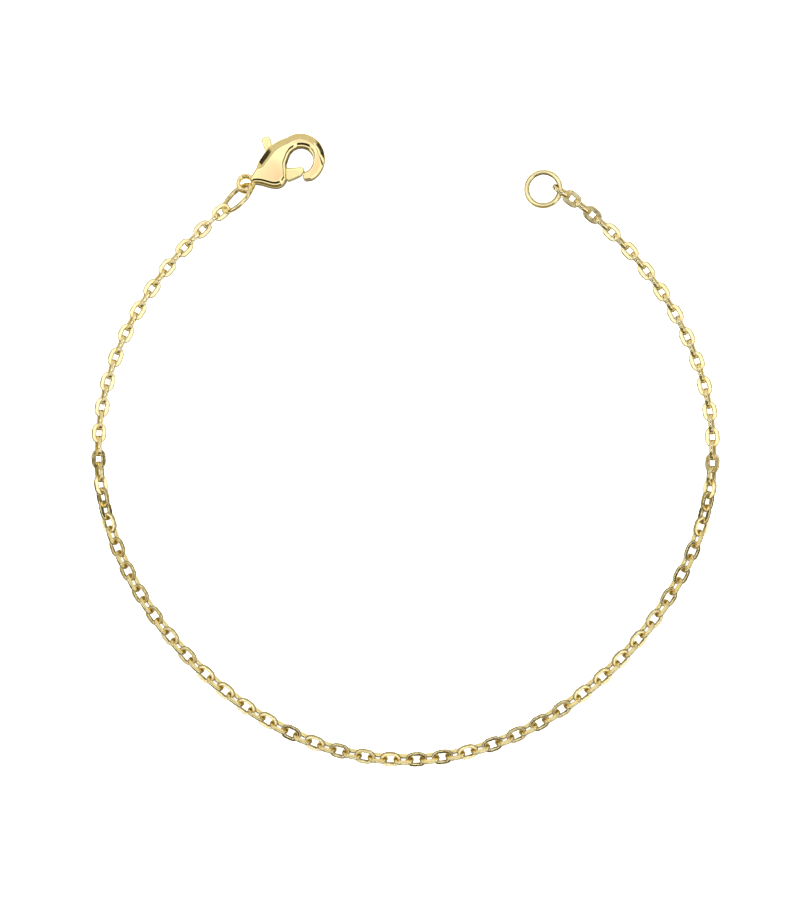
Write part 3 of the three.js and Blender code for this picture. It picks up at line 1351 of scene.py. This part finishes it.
    def _dressed(
        self,
        mesh: bpy.types.Mesh,
        name: str,
        place: Matrix,
        finish: GoldFinish,
    ) -> bpy.types.Object:
        """Finishes a piece of the clasp.

        Args:
            mesh: Its mesh, in the clasp's own frame.
            name: Its name.
            place: Takes that frame to its place.
            finish: Its finish.

        Returns:
            The piece, in its place, with its crisp edges and its finish.
        """
        mesh.transform(place)
        mesh.polygons.foreach_set("use_smooth", [True] * len(mesh.polygons))
        mesh.set_sharp_from_angle(angle=math.radians(self.sharp))
        mesh.materials.clear()
        mesh.materials.append(finish.material())
        return finished_object(name, mesh)

    def eye(self) -> bmesh.types.BMesh:
        """The eye that the jump ring goes through, leaning a little from its foot to its top.

        Returns:
            The eye, in the clasp's own frame.
        """
        bm = torus(self.eye_radius, self.eye_wire)
        along, across = self.eye_lean
        lean = Matrix(((1, 0, along, 0), (0, 1, across, 0), (0, 0, 1, 0), (0, 0, 0, 1)))
        bmesh.ops.transform(bm, matrix=lean, verts=bm.verts)
        return bm

    def build_casting(self, frame: dict, finish: GoldFinish) -> bpy.types.Object:
        """Makes the casting.

        Args:
            frame: The loaded frame.
            finish: The casting's finish.

        Returns:
            The finished piece, riding on its body.
        """
        steps = [
            ("UNION", self.eye()),
            ("DIFFERENCE", prism(self.slot(), self.slot_width)),
            ("UNION", peg(self.pivot, self.pivot_radius, self.slot_width + self.pivot_seat)),
        ]
        mesh = joined(Plate(self.sides(), self.half).solid(), steps)
        piece = self._dressed(mesh, "clasp_casting", self.place(frame), finish)
        return seated(piece, "clasp_body", "root")

    def build_lever(self, frame: dict, finish: GoldFinish) -> bpy.types.Object:
        """Makes the lever.

        Args:
            frame: The loaded frame.
            finish: The lever's finish.

        Returns:
            The finished piece, riding on its body.
        """
        plate = Plate(self.lever_sides(), lambda _: self.lever_half, self.lever_loops, self.lever_cell)
        bore = peg(self.pivot, self.pivot_radius + self.lever_play, self.lever_half * 3)
        mesh = joined(plate.solid(), [("DIFFERENCE", bore)])
        piece = self._dressed(mesh, "clasp_thumb_lever", self.place(frame), finish)
        return seated(piece, "clasp_lever", "clasp_lever")


# --------------------------------------------------------------------------------------------
# The studio
# --------------------------------------------------------------------------------------------


@dataclass(frozen=True)
class Panel:
    """A patch of the tent that is brighter or darker than the rest, as polished metal sees it.

    Attributes:
        azimuth: Its middle, in degrees from +X towards +Y.
        spread: Half its width in degrees of azimuth.
        polar: Its middle, in degrees from straight up.
        depth: Half its width in degrees of polar angle.
        light: How bright it is.
    """

    azimuth: float
    spread: float
    polar: float
    depth: float
    light: float


@dataclass
class Studio:
    """A light tent round a pale floor, seen from straight above by a long lens.

    Attributes:
        lens: Focal length in millimetres.
        sensor: Sensor width in millimetres, along the picture's long side.
        tall: How much of the floor the picture's long side shows.
        centre: What the camera looks at.
        floor_size: Side of the square floor.
        tent: Brightness of the tent by polar angle, in degrees, as metal sees it.
        panels: Patches of the tent that differ.
        soft: How soft the patches' edges are, in degrees.
        shadow_tint: Colour of the tent's dark parts, as metal sees them.
        shadow_range: Between which brightnesses that colour gives way to white.
        overhead_tint: Colour of its top.
        overhead_range: Between which polar angles, in radians, the top's colour fades.
        back_fill: Brightness of the tent's back on matt surfaces.
        front_fill: Brightness of its front on them.
        fill_turn: Between which Y parts of a direction the front's fill turns into the back's.
        paper: The floor's colour.
        floor_shade_beside: Its colour where metal reflects it from the side, in painted shade darker than
            the paper.
        floor_below: Its colour where metal reflects it from right above, in its own shadow.
        floor_turn: Between which facing values the one turns into the other.
    """

    lens: float = 100.0
    sensor: float = 36.0
    tall: float = 94.74 * MM
    centre: Corner = (0.0, 0.0)
    floor_size: float = 0.5
    tent: Sequence[tuple[float, float]] = (
        (0.0, 1.05),
        (10.0, 1.05),
        (16.0, 1.2),
        (30.0, 1.25),
        (48.0, 1.15),
        (62.0, 1.1),
        (68.0, 0.9),
        (76.0, 0.35),
        (84.0, 0.12),
        (90.0, 0.08),
    )
    panels: Sequence[Panel] = (
        Panel(95.0, 50.0, 39.0, 9.0, 0.25),
        Panel(180.0, 42.0, 40.0, 8.0, 0.3),
        Panel(5.0, 42.0, 36.0, 10.0, 0.06),
        Panel(5.0, 42.0, 83.0, 16.0, 0.1),
        Panel(264.0, 44.0, 29.0, 12.0, 0.02),
        Panel(264.0, 44.0, 68.0, 21.0, 0.16),
        Panel(264.0, 44.0, 92.0, 20.0, 0.02),
        Panel(104.0, 54.0, 71.0, 25.0, 0.67),
        Panel(154.5, 24.5, 88.0, 20.0, 0.02),
        Panel(28.0, 22.0, 86.0, 23.0, 0.02),
    )
    soft: float = 6.0
    shadow_tint: Colour = (1.0, 0.78, 0.36)
    shadow_range: Span = (0.2, 1.0)
    overhead_tint: Colour = (1.0, 0.81, 0.82)
    overhead_range: Span = (0.07, 0.26)
    back_fill: float = 9.0
    front_fill: float = 2.5
    fill_turn: Span = (-0.3, 0.3)
    paper: Colour = (0.9, 0.9, 0.9)
    floor_shade_beside: Colour = (0.17, 0.15, 0.09)
    floor_below: Colour = (0.09, 0.07, 0.04)
    floor_turn: Span = (0.25, 0.5)

    def camera(self) -> bpy.types.Object:
        """The camera, looking straight down.

        Returns:
            The camera.
        """
        data = bpy.data.cameras.new("camera")
        data.lens = self.lens
        data.sensor_width = self.sensor
        data.clip_start = 0.01
        camera = bpy.data.objects.new("camera", data)
        bpy.context.scene.collection.objects.link(camera)
        camera.location = (*self.centre, self.tall * self.lens / self.sensor)
        bpy.context.scene.camera = camera
        return camera

    def floor(self) -> bpy.types.Object:
        """The pale floor.

        Returns:
            The floor.
        """
        bm = bmesh.new()
        bmesh.ops.create_grid(bm, x_segments=1, y_segments=1, size=self.floor_size / 2)
        floor = finished_object("studio_floor", mesh_from("studio_floor", bm, smooth=False))
        made = bpy.data.materials.new("white_paper")
        made.use_nodes = True
        shader = Shader(made.node_tree)
        principled = made.node_tree.nodes["Principled BSDF"]
        glossy = shader.node("ShaderNodeLightPath", None, None, "Is Glossy Ray")
        facing = shader.node("ShaderNodeLayerWeight", None, {"Blend": 0.5}, "Facing")
        below, beside = self.floor_turn
        from_side = shader.node("ShaderNodeMapRange", None, {0: facing, 1: below, 2: beside, 3: 0.0, 4: 1.0})
        # Metal sees the floor in painted shade, darker than the paper that the camera sees.
        reflected = shader.blend(from_side, (*self.floor_below, 1.0), (*self.floor_shade_beside, 1.0))
        shader.feed(principled, {"Base Color": shader.blend(glossy, (*self.paper, 1.0), reflected)})
        floor.data.materials.append(made)
        return floor

    def _panel_mask(self, shader: Shader, azimuth: Wire, polar: Wire, panel: Panel) -> Wire:
        """How far a direction lies in a panel, from 0 to 1.

        Args:
            shader: The world's node tree.
            azimuth: The direction's azimuth, in radians.
            polar: Its angle from straight up, in radians.
            panel: The panel.

        Returns:
            The share: 1 well inside the panel, 0 outside it.
        """
        aside = azimuth - math.radians(panel.azimuth)
        off = shader.node("ShaderNodeMath", {"operation": "COSINE"}, {0: aside})
        edge = math.cos(math.radians(panel.spread))
        inner = math.cos(math.radians(max(0.0, panel.spread - self.soft)))
        smooth = {"interpolation_type": "SMOOTHSTEP"}
        across = shader.node("ShaderNodeMapRange", smooth, {0: off, 1: edge, 2: inner, 3: 0.0, 4: 1.0})
        below = polar - math.radians(panel.polar)
        from_middle = shader.node("ShaderNodeMath", {"operation": "ABSOLUTE"}, {0: below})
        rim = math.radians(panel.depth)
        core = math.radians(panel.depth - self.soft / 2)
        down = shader.node("ShaderNodeMapRange", smooth, {0: from_middle, 1: rim, 2: core, 3: 0.0, 4: 1.0})
        return across * down

    def light_tent(self) -> None:
        """The tent, as the world: metal sees its panels, matt surfaces an even light."""
        world = bpy.data.worlds.new("tent")
        bpy.context.scene.world = world
        world.use_nodes = True
        shader = Shader(world.node_tree)
        way = shader.node("ShaderNodeTexCoord", None, None, "Generated")
        apart = shader.node("ShaderNodeSeparateXYZ", None, {0: way})
        node = apart.socket.node
        x, y, z = (Wire(shader, node.outputs[i]) for i in range(3))
        azimuth = shader.node("ShaderNodeMath", {"operation": "ARCTAN2"}, {0: y, 1: x})
        polar = shader.node("ShaderNodeMath", {"operation": "ARCCOSINE"}, {0: z})
        top = max(light for _, light in self.tent)
        stops = [(angle / 180.0, light / top) for angle, light in self.tent]
        light = shader.node("ShaderNodeValToRGB", {"stops": stops}, {0: polar * (1.0 / math.pi)}) * top
        for panel in self.panels:
            mask = self._panel_mask(shader, azimuth, polar, panel)
            light = light + mask * (panel.light - light)
        glossy = shader.node("ShaderNodeLightPath", None, None, "Is Glossy Ray")
        front, back = self.fill_turn
        fills = {0: y, 1: front, 2: back, 3: self.front_fill, 4: self.back_fill}
        side = shader.node("ShaderNodeMapRange", None, fills)
        strength = light * glossy + side * (1 - glossy)
        white = (1.0, 1.0, 1.0, 1.0)
        dark, bright = self.shadow_range
        lit = shader.node("ShaderNodeMapRange", None, {0: light, 1: dark, 2: bright, 3: 0.0, 4: 1.0})
        top_end, side_start = self.overhead_range
        fade = {0: polar, 1: top_end, 2: side_start, 3: 1.0, 4: 0.0}
        overhead = shader.node("ShaderNodeMapRange", None, fade)
        seen_by_metal = shader.blend(lit, (*self.shadow_tint, 1.0), white)
        around = shader.blend(glossy, white, seen_by_metal)
        colour = shader.blend(overhead * glossy, around, (*self.overhead_tint, 1.0))
        shader.feed(world.node_tree.nodes["Background"], {"Color": colour, "Strength": strength})

    def build(self) -> None:
        """Sets up the camera, floor and light."""
        self.camera()
        self.floor()
        self.light_tent()
        bpy.context.scene.view_settings.view_transform = "Standard"


def main() -> None:
    """Builds the bracelet round the frame, piece by piece."""
    logging.basicConfig(level=logging.INFO, format="%(name)s: %(message)s")
    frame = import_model()
    Studio().build()
    chain = CableChain()
    for half in Half:
        chain.build(half, LINK_FINISH)
    end_ring(chain).build(WIRE_FINISH)
    jump_ring().build(WIRE_FINISH)
    clasp = LobsterClasp()
    clasp.build_casting(frame, CASTING_FINISH)
    clasp.build_lever(frame, LEVER_FINISH)


if __name__ == "__main__":
    main()
